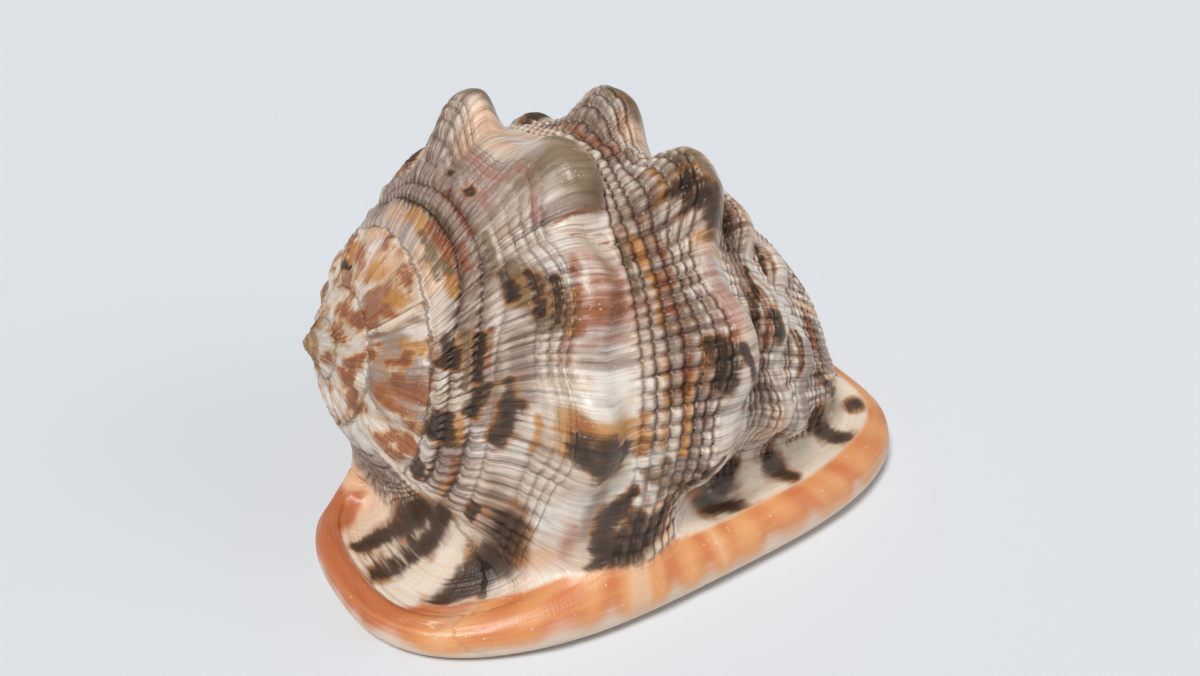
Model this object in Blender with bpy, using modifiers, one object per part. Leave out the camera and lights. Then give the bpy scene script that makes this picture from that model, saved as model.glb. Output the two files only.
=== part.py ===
"""Bullmouth helmet shell: one piece of shell, lying on its aperture.

Lengths are in metres and angles in degrees.  The shell coils clockwise about an axis that leaves
the apex and dips towards the front canal.  An angle about that axis is 0 on top and 90 on the
outer lip's side, and it grows along the whorl up to the lip.
"""
import math

import bmesh
import bpy
import numpy as np
from mathutils import Matrix, Vector

NAME = "helmet_shell"

# coil: the apex, the axis leaving it, and how much each turn grows
APEX = Vector((-0.0579, 0.0151, 0.0493))
AXIS_DIP = 18.3
AXIS_YAW = -7.7
TURN_GROWTH = 1.76
LIP_ANGLE = 125.0

# last whorl's section at the lip: distance along the axis, radius
SUTURE = (0.0179, 0.0307)
SECTION = (
    SUTURE, (0.024, 0.0375), (0.030, 0.044), (0.036, 0.050), (0.042, 0.0545), (0.052, 0.0585),
    (0.062, 0.0605), (0.071, 0.0605), (0.080, 0.058), (0.090, 0.0535), (0.100, 0.050),
    (0.108, 0.046), (0.116, 0.0425), (0.124, 0.037), (0.131, 0.026), (0.137, 0.010),
)
LIP_PINCH = 0.24
UNDERSIDE = (108.0, 170.0)
BODY_START = 0.0005
BODY_END = 0.117

# knob rows: place along the section and the ridge that joins the knobs, then each knob's angle,
# height, half width towards the apex, towards the front and round the whorl
KNOB_ROWS = (
    (0.0400, 0.0030, (
        (-112, 0.0026, 0.007, 0.007, 0.008), (-80, 0.0027, 0.008, 0.008, 0.009),
        (-50, 0.0015, 0.008, 0.008, 0.009), (-20, 0.0115, 0.008, 0.0085, 0.0095),
        (49, 0.0065, 0.009, 0.009, 0.012), (80, 0.006, 0.009, 0.009, 0.011))),
    (0.0440, 0.0, ((20, 0.0105, 0.010, 0.010, 0.0115),)),
    (0.0730, 0.0026, (
        (-100, 0.002, 0.007, 0.007, 0.008), (-68, 0.0028, 0.008, 0.008, 0.009),
        (-37, 0.005, 0.008, 0.008, 0.009), (-5, 0.0105, 0.0095, 0.0105, 0.0105),
        (27, 0.0125, 0.010, 0.0115, 0.011), (60, 0.0085, 0.0095, 0.0095, 0.012),
        (86, 0.0025, 0.008, 0.008, 0.009))),
    (0.0925, 0.0012, (
        (-84, 0.0025, 0.0055, 0.0055, 0.006), (-53, 0.0025, 0.0055, 0.0055, 0.006),
        (-22, 0.0035, 0.0055, 0.0055, 0.0065), (3, 0.005, 0.0055, 0.0055, 0.0065),
        (28, 0.007, 0.0055, 0.0055, 0.007), (53, 0.006, 0.006, 0.006, 0.0085),
        (75, 0.004, 0.0055, 0.0055, 0.007))),
    (0.1040, 0.0008, (
        (-68, 0.002, 0.0045, 0.0045, 0.005), (-41, 0.002, 0.0045, 0.0045, 0.005),
        (-14, 0.003, 0.0045, 0.0045, 0.0055), (11, 0.004, 0.0045, 0.0045, 0.0055),
        (36, 0.005, 0.0045, 0.0045, 0.006), (61, 0.0045, 0.0045, 0.0045, 0.0065),
        (82, 0.003, 0.0045, 0.0045, 0.006))),
)

# base: the closed line that the rolled lip in front and the shield behind follow
BASE_CENTRE = Vector((-0.0002, -0.0127))
BASE_HALF_LENGTH = 0.0632
LIP_HALF_WIDTH = 0.033
LIP_SQUARENESS = (2.7, 3.3)
SHIELD_HALF_WIDTH = 0.048
SHIELD_SQUARENESS = (2.3, 2.5)
BACK_NOTCH = (139.0, 12.0, 0.015)
LIP_ROLL_RADIUS = (0.0041, 0.0066)
SHIELD_ROLL_RADIUS = 0.0036
FLANGE_WIDTH = 0.026
FLANGE_RISE = 0.020

# front canal, a short tapered spout
CANAL_START = Vector((0.0413, 0.0023, 0.0150))
CANAL_END = Vector((0.0623, 0.0051, 0.0122))
CANAL_START_RADIUS = 0.0140
CANAL_END_RADIUS = 0.0063

# aperture: a bent slit in the base that opens into a blind chamber
APERTURE_ENDS = (-0.0443, 0.0537)
APERTURE_WIDTH = 0.0074
APERTURE_DEPTH = 0.030
APERTURE_LEAN = 0.30
MOUTH_DROP = 0.004

# mesh density
BODY_RINGS = 96
BODY_RING_POINTS = 144
BASE_POINTS = 144
VOXEL = 0.0018
KEPT_FACES = 0.22
FOOT_DROP = 0.0008
GROUND_BLOCK = 0.3


def growth(angle):
    """Size of the whorl at an angle, as a share of its size at the lip."""
    return TURN_GROWTH ** ((angle - LIP_ANGLE) / 360.0)


def ease(value):
    """Smooth step from 0 to 1."""
    value = min(max(value, 0.0), 1.0)
    return value * value * (3.0 - 2.0 * value)


def section_radius(along):
    """Radius of the last whorl between its knobs, in lip units."""
    places, radii = zip(*SECTION)
    return float(np.interp(along, places, radii))


def knob_height(angle, along):
    """How far the knobs and the ridges between them stand out of the whorl, in lip units."""
    height = 0.0
    fade = ease((LIP_ANGLE - angle) / 40.0)
    for place, ridge, knobs in KNOB_ROWS:
        radius = section_radius(place)
        height += ridge * fade * math.exp(-((along - place) / 0.007) ** 2)
        for knob_angle, knob_rise, back, front, around in knobs:
            across = (along - place) / (back if along < place else front)
            turned = math.radians(angle - knob_angle) * radius / around
            height += knob_rise * math.exp(-(1.07 * (across * across + turned * turned)) ** 1.5)
    return height


def whorl_radius(angle, axial):
    """Radius of the shell's outside about the axis, on the spire or on the last whorl."""
    size = growth(angle)
    along = axial / size
    if along < SUTURE[0]:
        return axial * SUTURE[1] / SUTURE[0] * (1.0 - 0.5 * math.exp(-(axial / 0.0075) ** 2))
    pinch = LIP_PINCH * ease((angle - 74.0) / 26.0) * ease((along - 0.056) / 0.024)
    return size * (section_radius(along) * (1.0 - pinch) + knob_height(angle, along))


def body_radius(angle, axial):
    """Whorl radius, with the step between the lip and the previous turn closed underneath."""
    start, end = UNDERSIDE
    turned = angle % 360.0
    if turned <= start:
        return whorl_radius(turned, axial)
    if turned >= end:
        return whorl_radius(turned - 360.0, axial)
    share = ease((turned - start) / (end - start))
    lip_side = whorl_radius(start, axial)
    back_side = whorl_radius(end - 360.0, axial)
    return lip_side * (1.0 - share) + back_side * share


def coil_frame():
    """Axis direction, the upward direction across it and the one towards the lip."""
    dip = math.radians(AXIS_DIP)
    yaw = math.radians(AXIS_YAW)
    axis = Vector((math.cos(dip) * math.cos(yaw), math.cos(dip) * math.sin(yaw), -math.sin(dip)))
    lipward = Vector((math.sin(yaw), -math.cos(yaw), 0.0))
    upward = lipward.cross(axis)
    return axis, upward, lipward


def loft(name, rings, collection):
    """Closed solid through rings of equal length, each end closed by one point."""
    mesh = bmesh.new()
    loops = [[mesh.verts.new(point) for point in ring] for ring in rings]
    for near, far in zip(loops, loops[1:]):
        for i in range(len(near)):
            j = (i + 1) % len(near)
            mesh.faces.new((near[i], near[j], far[j], far[i]))
    for loop in (loops[0], loops[-1]):
        middle = mesh.verts.new(sum((vertex.co for vertex in loop), Vector()) / len(loop))
        for i in range(len(loop)):
            mesh.faces.new((loop[i], loop[(i + 1) % len(loop)], middle))
    bmesh.ops.recalc_face_normals(mesh, faces=mesh.faces)
    data = bpy.data.meshes.new(name)
    mesh.to_mesh(data)
    mesh.free()
    solid = bpy.data.objects.new(name, data)
    collection.objects.link(solid)
    return solid


def make_body(collection):
    """Spire and last whorl, as rings square to the coil's axis."""
    axis, upward, lipward = coil_frame()
    rings = []
    for i in range(BODY_RINGS):
        axial = BODY_START + (BODY_END - BODY_START) * i / (BODY_RINGS - 1)
        centre = APEX + axis * axial
        ring = []
        for k in range(BODY_RING_POINTS):
            angle = 360.0 * k / BODY_RING_POINTS
            radius = body_radius(angle, axial)
            turn = math.radians(angle)
            ring.append(centre + (upward * math.cos(turn) + lipward * math.sin(turn)) * radius)
        rings.append(ring)
    return loft("body", rings, collection)


def base_point(turn, inset):
    """Point of the base line at a turn about its centre, moved in towards the centre."""
    lip_side = math.sin(turn) < 0.0
    half_width = LIP_HALF_WIDTH if lip_side else SHIELD_HALF_WIDTH
    back_power, front_power = LIP_SQUARENESS if lip_side else SHIELD_SQUARENESS
    front = ease(math.cos(turn) * BASE_HALF_LENGTH / 0.040 + 0.5)
    power = 2.0 / (back_power * (1.0 - front) + front_power * front)
    x = math.copysign(abs(math.cos(turn)) ** power, math.cos(turn)) * BASE_HALF_LENGTH
    y = math.copysign(abs(math.sin(turn)) ** power, math.sin(turn)) * half_width
    notch_angle, notch_width, notch_depth = BACK_NOTCH
    from_notch = (math.degrees(math.atan2(y, x)) - notch_angle) / notch_width
    inset += notch_depth * math.exp(-from_notch ** 2)
    shrink = 1.0 - inset / math.hypot(x, y)
    return BASE_CENTRE + Vector((x, y)) * shrink


def roll_radius(x, y):
    """Half thickness of the rolled edge: thick on the lip, thin at the back and the shield."""
    thin, thick = LIP_ROLL_RADIUS
    lip = thin + (thick - thin) * ease((x + 0.0587) / 0.036)
    lip -= 0.0012 * min(max((x - 0.0273) / 0.040, 0.0), 1.0)
    share = ease((y + 0.0007) / 0.025)
    return lip * (1.0 - share) + SHIELD_ROLL_RADIUS * share


def make_base(collection):
    """Flange and rolled edge: the same rising section taken round the base line."""
    insets = [FLANGE_WIDTH * share for share in (1.0, 0.8, 0.6, 0.45, 0.3)]
    roll_turns = [math.radians(angle) for angle in range(100, -91, -19)]
    columns = []
    for k in range(BASE_POINTS):
        turn = 2.0 * math.pi * k / BASE_POINTS
        edge = base_point(turn, 0.0)
        roll = roll_radius(edge.x, edge.y)
        rise = FLANGE_RISE * (0.3 + 0.7 * ease((edge.x + 0.0547) / 0.030))
        rise *= 1.0 - 0.7 * ease(edge.y / 0.030)
        column = []
        for inset in insets:
            flat = base_point(turn, inset)
            height = 2.0 * roll - 0.0014 + (inset / FLANGE_WIDTH) ** 2 * rise
            column.append(Vector((flat.x, flat.y, height)))
        for roll_turn in roll_turns:
            flat = base_point(turn, -roll * math.cos(roll_turn))
            column.append(Vector((flat.x, flat.y, roll + roll * math.sin(roll_turn) - FOOT_DROP)))
        columns.append(column)
    rings = [list(ring) for ring in zip(*columns)]
    return loft("base", rings, collection)


def make_canal(collection):
    """Front canal: a tapered spout with a rounded end."""
    run = CANAL_END - CANAL_START
    mesh = bmesh.new()
    bmesh.ops.create_cone(
        mesh, cap_ends=True, segments=32, radius1=CANAL_START_RADIUS,
        radius2=CANAL_END_RADIUS, depth=run.length)
    tip = Matrix.Translation((0.0, 0.0, run.length / 2.0))
    bmesh.ops.create_uvsphere(
        mesh, u_segments=32, v_segments=16, radius=CANAL_END_RADIUS, matrix=tip)
    data = bpy.data.meshes.new("canal")
    mesh.to_mesh(data)
    mesh.free()
    canal = bpy.data.objects.new("canal", data)
    canal.location = CANAL_START + run / 2.0
    canal.rotation_euler = run.to_track_quat("Z", "Y").to_euler()
    collection.objects.link(canal)
    return canal


def aperture_line(x):
    """Middle of the aperture, bent towards the lip at both of its ends."""
    start, end = APERTURE_ENDS
    share = (x - start) / (end - start)
    return -0.0215 + 0.010 * math.sin(math.pi * share) ** 1.5 + 0.017 * ease(share * 1.15 - 0.1)


def make_aperture_cutter(collection):
    """The slit and the chamber behind it: thin standing slices from one end to the other."""
    start, end = APERTURE_ENDS
    slices = 22
    rings = []
    for i in range(slices):
        share = i / (slices - 1)
        x = start + (end - start) * share
        swell = max(math.sin(math.pi * (0.04 + 0.92 * share)), 0.0) ** 0.5
        half = APERTURE_WIDTH / 2.0 * swell
        depth = APERTURE_DEPTH * swell ** 1.6
        middle = aperture_line(x)
        ring = []
        wall = ((-MOUTH_DROP, 1.0), (MOUTH_DROP, 0.95), (0.45 * depth, 1.08),
                (0.8 * depth, 1.05), (depth, 0.6))
        for side, levels in ((-1.0, wall), (1.0, tuple(reversed(wall)))):
            for height, width in levels:
                y = middle - APERTURE_LEAN * max(height, 0.0) + side * half * width
                ring.append(Vector((x, y, height)))
        rings.append(ring)
    return loft("aperture_cutter", rings, collection)


def make_ground_cutter(collection):
    """Block whose top face trims the base flat."""
    mesh = bmesh.new()
    bmesh.ops.create_cube(mesh, size=GROUND_BLOCK)
    data = bpy.data.meshes.new("ground_cutter")
    mesh.to_mesh(data)
    mesh.free()
    block = bpy.data.objects.new("ground_cutter", data)
    block.location = (0.0, 0.0, -GROUND_BLOCK / 2.0)
    collection.objects.link(block)
    return block


def hide_tool(tool):
    """Mark an object as a construction guide."""
    tool.hide_render = True
    tool.display_type = "WIRE"


def shell_material():
    """Glossy mottled shell, as one even colour."""
    material = bpy.data.materials.new("shell_layer")
    material.use_nodes = True
    surface = material.node_tree.nodes["Principled BSDF"]
    surface.inputs["Base Color"].default_value = (0.42, 0.29, 0.20, 1.0)
    surface.inputs["Roughness"].default_value = 0.35
    surface.inputs["Metallic"].default_value = 0.0
    return material


def fuse(solids, name, collection):
    """One mesh with the faces of several solids, in world space."""
    mesh = bmesh.new()
    for solid in solids:
        bpy.context.view_layer.update()
        part = solid.data.copy()
        part.transform(solid.matrix_world)
        mesh.from_mesh(part)
        bpy.data.meshes.remove(part)
        bpy.data.objects.remove(solid)
    data = bpy.data.meshes.new(name)
    mesh.to_mesh(data)
    mesh.free()
    fused = bpy.data.objects.new(name, data)
    collection.objects.link(fused)
    return fused


def make_shell():
    """The whole part: fused, smoothed, thinned to fewer faces, then cut."""
    parts = bpy.data.collections.new(NAME)
    tools = bpy.data.collections.new("cutters")
    bpy.context.scene.collection.children.link(parts)
    bpy.context.scene.collection.children.link(tools)
    solids = [make_body(parts), make_base(parts), make_canal(parts)]
    shell = fuse(solids, NAME, parts)
    shell.data.materials.append(shell_material())

    remesh = shell.modifiers.new("fuse", "REMESH")
    remesh.mode = "VOXEL"
    remesh.voxel_size = VOXEL
    smooth = shell.modifiers.new("soften", "SMOOTH")
    smooth.factor = 0.5
    smooth.iterations = 6
    thin = shell.modifiers.new("thin", "DECIMATE")
    thin.ratio = KEPT_FACES
    for cutter in (make_ground_cutter(tools), make_aperture_cutter(tools)):
        hide_tool(cutter)
        cut = shell.modifiers.new(cutter.name, "BOOLEAN")
        cut.operation = "DIFFERENCE"
        cut.solver = "EXACT"
        cut.object = cutter
    return shell


for old in list(bpy.data.objects):
    bpy.data.objects.remove(old)
make_shell()
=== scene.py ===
"""Bullmouth helmet shell, lying on its aperture: the finished look of its one piece."""
import math
from types import SimpleNamespace

import bmesh
import bpy
import numpy as np
from mathutils import Matrix, Vector


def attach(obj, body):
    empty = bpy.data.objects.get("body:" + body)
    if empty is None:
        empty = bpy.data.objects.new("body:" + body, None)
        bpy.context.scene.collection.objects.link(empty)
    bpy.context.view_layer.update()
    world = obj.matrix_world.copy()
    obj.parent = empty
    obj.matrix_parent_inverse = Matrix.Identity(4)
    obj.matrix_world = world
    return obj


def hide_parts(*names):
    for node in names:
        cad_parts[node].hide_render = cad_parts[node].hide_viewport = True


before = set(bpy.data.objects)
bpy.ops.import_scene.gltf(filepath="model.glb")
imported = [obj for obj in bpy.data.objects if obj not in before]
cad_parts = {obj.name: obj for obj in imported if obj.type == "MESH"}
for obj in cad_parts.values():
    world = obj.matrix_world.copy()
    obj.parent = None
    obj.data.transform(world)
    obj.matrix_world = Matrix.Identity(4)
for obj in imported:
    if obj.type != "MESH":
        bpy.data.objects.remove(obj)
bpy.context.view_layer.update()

# --------------------------------------------------------------- helmet shell
# One hard piece of lime that a large sea snail grew turn by turn, with rows of blunt knobs, a
# thick rolled lip and a thin shield beside its slit.  It is carved from a copy of the plain
# body, because its form is a coil.  Lengths here are in millimetres and angles in degrees.


def ease(share):
    """Smooth step from 0 to 1."""
    share = np.clip(share, 0.0, 1.0)
    return share * share * (3.0 - 2.0 * share)


def ramp(value, start, run):
    """Smooth rise from 0 at the start to 1 a run further on; a negative run goes backwards."""
    return ease((value - start) / run)


def change(value, amount, start, run):
    """An amount that comes in smoothly from the start over a run."""
    return amount * ramp(value, start, run)


def bell(value):
    """1 at zero, falling away smoothly on both sides."""
    return np.exp(-value ** 2)


def soft_min(near, far, blend):
    """Smaller of two distances, rounded over a blend width."""
    share = np.clip(0.5 + 0.5 * (far - near) / blend, 0.0, 1.0)
    return far * (1.0 - share) + near * share - blend * share * (1.0 - share)


# The coil: its tip, the dip and sideways turn of its axis, its growth in a turn, and the angle
# at which it ends.  The tip leans over by a little, and isn't followed closer than its start.
APEX = np.array((-57.9, 15.1, 49.3))
AXIS_DIP = 18.3
AXIS_YAW = -7.7
TURN_GROWTH = 1.76
LIP_ANGLE = 125.0
TIP_LEAN = 1.3
TIP_LENGTH = 8.0
TIP_START = 0.3

# Outline of the last turn at the lip: distance along the axis, and radius.  The seam with the
# turn before is at the suture, and the corners in front of it are rounded, by a weight that
# spreads over these steps and reaches so many each way.
SUTURE_ALONG = 17.9
SUTURE_RADIUS = 30.7
SECTION = (
    (0, 30), (17.9, 30.7), (24, 37.5), (30, 44), (36, 50), (42, 54.5), (52, 58.5), (62, 60.5),
    (71, 61), (80, 58), (90, 53.5), (100, 50), (108, 46), (116, 43.5), (124, 38), (131, 27),
    (138, 9), (146, -10), (200, -100),
)
SECTION_STEP = 0.5
CORNER_SPREAD = 4.5
CORNER_REACH = 12
CORNERS_START = 8.0


def make_section_table():
    """Section radius in half-millimetre steps, with the corners of its outline rounded."""
    along, radius = np.array(SECTION, float).T
    steps = np.arange(0.0, SECTION[-1][0], SECTION_STEP)
    plain = np.interp(steps, along, radius)
    away = np.arange(-CORNER_REACH, CORNER_REACH + 1) / CORNER_SPREAD
    weights = np.exp(-0.5 * away ** 2)
    padded = np.pad(plain, CORNER_REACH, mode="edge")
    rounded = np.convolve(padded, weights / weights.sum(), "valid")
    share = np.clip((steps - SUTURE_ALONG) / CORNERS_START, 0.0, 1.0)
    return steps, plain * (1.0 - share) + rounded * share


SECTION_TABLE = make_section_table()


def coil_frame():
    """Axis direction, the upward direction across it and the one towards the lip."""
    dip, yaw = math.radians(AXIS_DIP), math.radians(AXIS_YAW)
    axis = np.array((math.cos(dip) * math.cos(yaw), math.cos(dip) * math.sin(yaw), -math.sin(dip)))
    lipward = np.array((math.sin(yaw), -math.cos(yaw), 0.0))
    return axis, np.cross(lipward, axis), lipward


def coil_place(points):
    """Distance along the axis, distance from it, and angle about it in -235 to 125."""
    axis, upward, lipward = coil_frame()
    offset = points - APEX
    rise, side = offset @ upward, offset @ lipward
    rise = rise + TIP_LEAN * np.exp(-np.maximum(offset @ axis, 0.0) / TIP_LENGTH)
    angle = np.degrees(np.arctan2(side, rise))
    return offset @ axis, np.hypot(rise, side), np.where(angle > LIP_ANGLE, angle - 360.0, angle)


def unwound(axial, angle):
    """Angle counted back through the spire's turns, place along the section, turn's size."""
    size = TURN_GROWTH ** ((angle - LIP_ANGLE) / 360.0)
    along = np.maximum(axial, TIP_START) / size
    turns = np.ceil(np.log(SUTURE_ALONG / along) / math.log(TURN_GROWTH))
    turns = np.maximum(turns, 0.0)
    shrink = TURN_GROWTH ** turns
    return angle - 360.0 * turns, along * shrink, size / shrink


# Knob rows: place along the section and height of the ridge that joins the knobs, then each
# knob's angle, height, half width towards the apex, towards the front and round the whorl.
# Ridges fade before the lip, and a knob has steep sides and a blunt top.
KNOB_ROWS = (
    (40.0, 3.0, (
        (-112, 2.6, 7, 7, 8), (-80, 2.7, 8, 8, 9), (-50, 1.5, 8, 8, 9), (-20, 11.5, 8, 8.5, 9.5),
        (49, 6.5, 9, 9, 12), (80, 6, 9, 9, 11))),
    (44.0, 0.0, ((20, 10.5, 10, 10, 11.5),)),
    (73.0, 2.6, (
        (-100, 2, 7, 7, 8), (-68, 2.8, 8, 8, 9), (-37, 5, 8, 8, 9), (-5, 10.5, 9.5, 10.5, 10.5),
        (27, 12.5, 10, 11.5, 11), (60, 8.5, 9.5, 9.5, 12), (86, 2.5, 8, 8, 9))),
    (92.5, 1.2, (
        (-84, 2.5, 5.5, 5.5, 6), (-53, 2.5, 5.5, 5.5, 6), (-22, 3.5, 5.5, 5.5, 6.5),
        (3, 5, 5.5, 5.5, 6.5), (28, 7, 5.5, 5.5, 7), (53, 6, 6, 6, 8.5), (75, 4, 5.5, 5.5, 7))),
    (104.0, 0.8, (
        (-68, 2, 4.5, 4.5, 5), (-41, 2, 4.5, 4.5, 5), (-14, 3, 4.5, 4.5, 5.5),
        (11, 4, 4.5, 4.5, 5.5), (36, 5, 4.5, 4.5, 6), (61, 4.5, 4.5, 4.5, 6.5),
        (82, 3, 4.5, 4.5, 6))),
)
RIDGE_WIDTH = 7.0
RIDGE_FADE = 40.0
KNOB_WAIST = 1.116
KNOB_BLUNTNESS = 1.8


def knob_relief(angle, along):
    """How far the knobs and the ridges between them stand out, in lip units."""
    relief = np.zeros_like(along)
    fade = ramp(angle, LIP_ANGLE, -RIDGE_FADE)
    for place, ridge, knobs in KNOB_ROWS:
        relief += ridge * fade * bell((along - place) / RIDGE_WIDTH)
        row_radius = np.interp(place, *SECTION_TABLE)
        for knob_angle, height, back, front, around in knobs:
            offset = along - place
            across = offset / np.where(offset < 0.0, back, front)
            round_ = np.radians(angle - knob_angle) * row_radius / around
            spread = across ** 2 + round_ ** 2
            relief += height * np.exp(-(KNOB_WAIST * spread) ** KNOB_BLUNTNESS)
    return relief


# the whorl draws in where it meets the lip in front: by how much, and where that starts and
# how long it takes, round the coil and along it
LIP_PINCH = 0.24
PINCH_ROUND = (74.0, 26.0)
PINCH_ALONG = (56.0, 24.0)

# the spire: its cone is slimmer near the tip, and each turn bulges between its seams
TIP_SLIMMING = 0.5
SLIM_LENGTH = 7.5
WHORL_BULGE = 0.07
BULGE_FULLNESS = 0.8

# angles between which the step under the lip is closed, and what a distance that is taken
# askew to the surface is shortened by
UNDERSIDE = (108.0, 170.0)
ASKEW = 0.8


def whorl_radius(angle, axial):
    """Radius of the outside about the axis, on the spire and on the last whorl."""
    turn, along, size = unwound(axial, angle)
    pinch = LIP_PINCH * ramp(angle, *PINCH_ROUND) * ramp(along, *PINCH_ALONG)
    last = size * (np.interp(along, *SECTION_TABLE) * (1.0 - pinch) + knob_relief(angle, along))
    share = np.mod(np.log(along / SUTURE_ALONG) / math.log(TURN_GROWTH), 1.0)
    cone = axial * SUTURE_RADIUS / SUTURE_ALONG * (1.0 - TIP_SLIMMING * bell(axial / SLIM_LENGTH))
    bulge = 1.0 + WHORL_BULGE * np.sin(math.pi * share) ** BULGE_FULLNESS
    return np.where(turn < angle - 1.0, np.maximum(cone, 0.0) * bulge, last)


def body_distance(points):
    """Distance from the coiled body, with the step under the lip closed."""
    axial, radius, angle = coil_place(points)
    surface = whorl_radius(angle, axial)
    start, end = UNDERSIDE
    turned = np.where(angle < 0.0, angle + 360.0, angle)
    under = (turned > start) & (turned <= end)
    share = ramp(turned[under], start, end - start)
    lip_side = whorl_radius(np.full(share.shape, start), axial[under])
    back_side = whorl_radius(np.full(share.shape, end - 360.0), axial[under])
    surface[under] = lip_side * (1.0 - share) + back_side * share
    return (radius - surface) * ASKEW


# The base's outline in plan: a rounded box of this middle and these half sizes, narrower on
# the lip's side.  Its squareness is for the back and the front, and the notch at the back has
# an angle, a width and a depth.
BASE_CENTRE = (-0.2, -12.7)
BASE_HALF_LENGTH = 63.2
LIP_HALF_WIDTH = 33.0
SHIELD_HALF_WIDTH = 48.0
LIP_SQUARENESS = (2.7, 3.3)
SHIELD_SQUARENESS = (2.3, 2.5)
SQUARENESS_RUN = 40.0
BACK_NOTCH = (139.0, 12.0, 15.0)

# Half thickness of the rim: at the lip's back end, what it gains along the lip and loses again
# towards the canal, and on the shield.  A change has its amount, its start and its run.
ROLL_BACK = 4.1
ROLL_GAIN = (2.5, -58.7, 36.0)
ROLL_LOSS = (1.2, 27.3, 40.0)
ROLL_SHIELD = 3.6
SHIELD_SIDE = (-0.7, 25.0)


def rim_offset(x, y):
    """Distance outwards from the line that the rolled rim follows, in plan."""
    x = x - BASE_CENTRE[0]
    y = y - BASE_CENTRE[1]
    half_width = np.where(y < 0.0, LIP_HALF_WIDTH, SHIELD_HALF_WIDTH)
    front = ease(x / SQUARENESS_RUN + 0.5)
    lip_power = LIP_SQUARENESS[0] * (1.0 - front) + LIP_SQUARENESS[1] * front
    shield_power = SHIELD_SQUARENESS[0] * (1.0 - front) + SHIELD_SQUARENESS[1] * front
    power = np.where(y < 0.0, lip_power, shield_power)
    u = np.abs(x / BASE_HALF_LENGTH) + 1e-6
    v = np.abs(y / half_width) + 1e-6
    total = u ** power + v ** power
    size = total ** (1.0 / power)
    slope_x = u ** (power - 1.0) / BASE_HALF_LENGTH * size / total
    slope_y = v ** (power - 1.0) / half_width * size / total
    notch_angle, notch_width, notch_depth = BACK_NOTCH
    turn = (np.degrees(np.arctan2(y, x)) - notch_angle) / notch_width
    return (size - 1.0) / np.hypot(slope_x, slope_y) + notch_depth * bell(turn)


def roll_radius(x, y):
    """Half thickness of the rim: thickest on the lip, thin at the back end and on the shield."""
    loss, start, run = ROLL_LOSS
    lip = ROLL_BACK + change(x, *ROLL_GAIN) - loss * np.clip((x - start) / run, 0.0, 1.0)
    share = ramp(y, *SHIELD_SIDE)
    return lip * (1.0 - share) + ROLL_SHIELD * share


# The open slit: its ends, its line between them, which bows and drifts towards the shield, its
# width and depth in the middle, and how far it leans over in each unit of height.
APERTURE_ENDS = (-44.3, 53.7)
APERTURE_START_Y = -21.5
APERTURE_BOW = 10.0
APERTURE_BOW_POWER = 1.5
APERTURE_DRIFT = 17.0
APERTURE_WIDTH = 7.4
APERTURE_DEPTH = 30.0
APERTURE_LEAN = 0.30

# the underside lies flat at its edge, and inside that it is hollowed, most along the slit
FLAT_EDGE = 5.0
HOLLOW_RUN = 14.0
HOLLOW_DEPTH = 0.6
SLIT_HOLLOW_DEPTH = 2.6
SLIT_HOLLOW_WIDTH = 11.0


def aperture_line(x):
    """Middle of the aperture, bent towards the lip at both of its ends."""
    share = np.clip((x - APERTURE_ENDS[0]) / (APERTURE_ENDS[1] - APERTURE_ENDS[0]), 0.0, 1.0)
    bow = APERTURE_BOW * np.sin(math.pi * share) ** APERTURE_BOW_POWER
    return APERTURE_START_Y + bow + APERTURE_DRIFT * ease(share * 1.15 - 0.1)


def slit_distance(points):
    """Distance from the open slit, negative in the opening."""
    x, y, z = points.T
    # it narrows towards its ends, where it is still a little open, and its sides lean
    share = (x - APERTURE_ENDS[0]) / (APERTURE_ENDS[1] - APERTURE_ENDS[0])
    swell = np.sqrt(np.maximum(np.sin(math.pi * np.clip(0.04 + 0.92 * share, 0.0, 1.0)), 0.0))
    half = APERTURE_WIDTH / 2.0 * swell
    side = np.abs(y - aperture_line(x) + APERTURE_LEAN * np.maximum(z, 0.0)) - half
    end = np.maximum(APERTURE_ENDS[0] - x, x - APERTURE_ENDS[1])
    deep = z - APERTURE_DEPTH * swell ** 1.6
    return np.maximum(np.maximum(side * 0.93, end), deep)


def floor_height(x, y):
    """Height of the underside: flat at the rim and shield, hollowed along the aperture."""
    inside = ramp(-rim_offset(x, y), FLAT_EDGE, HOLLOW_RUN)
    away = y - aperture_line(x)
    return inside * (HOLLOW_DEPTH + SLIT_HOLLOW_DEPTH * bell(away / SLIT_HOLLOW_WIDTH))


# The flange from the rim in to the body: its width, how far it starts below the rim's top, its
# rise at the back, what that gains in front, and the share of it that the shield lacks.  Its
# edge lies inside the roll, by this part of the roll's radius.
FLANGE_WIDTH = 26.0
FLANGE_SINK = 1.4
FLANGE_RISE = 5.0
FLANGE_GAIN = (16.0, -54.7, 30.0)
SHIELD_FALL = (0.7, -5.7, 30.0)
FLANGE_EDGE = 0.3

# the front canal and a stub at the back: from, to, thickness at each end, and blend width
LIMBS = (
    ((41.3, 2.3, 15.0), (62.3, 5.1, 12.2), 14.0, 6.3, 7.0),
    ((-50.0, 13.5, 5.0), (-48.0, 12.0, 16.0), 4.0, 1.8, 5.0),
)

# widths over which the body, rim, flange, resting face and slit run into each other
BODY_BLEND = 8.0
FLANGE_BLEND = 1.6
FLOOR_BLEND = 0.6
SLIT_BLEND = 1.0


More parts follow.
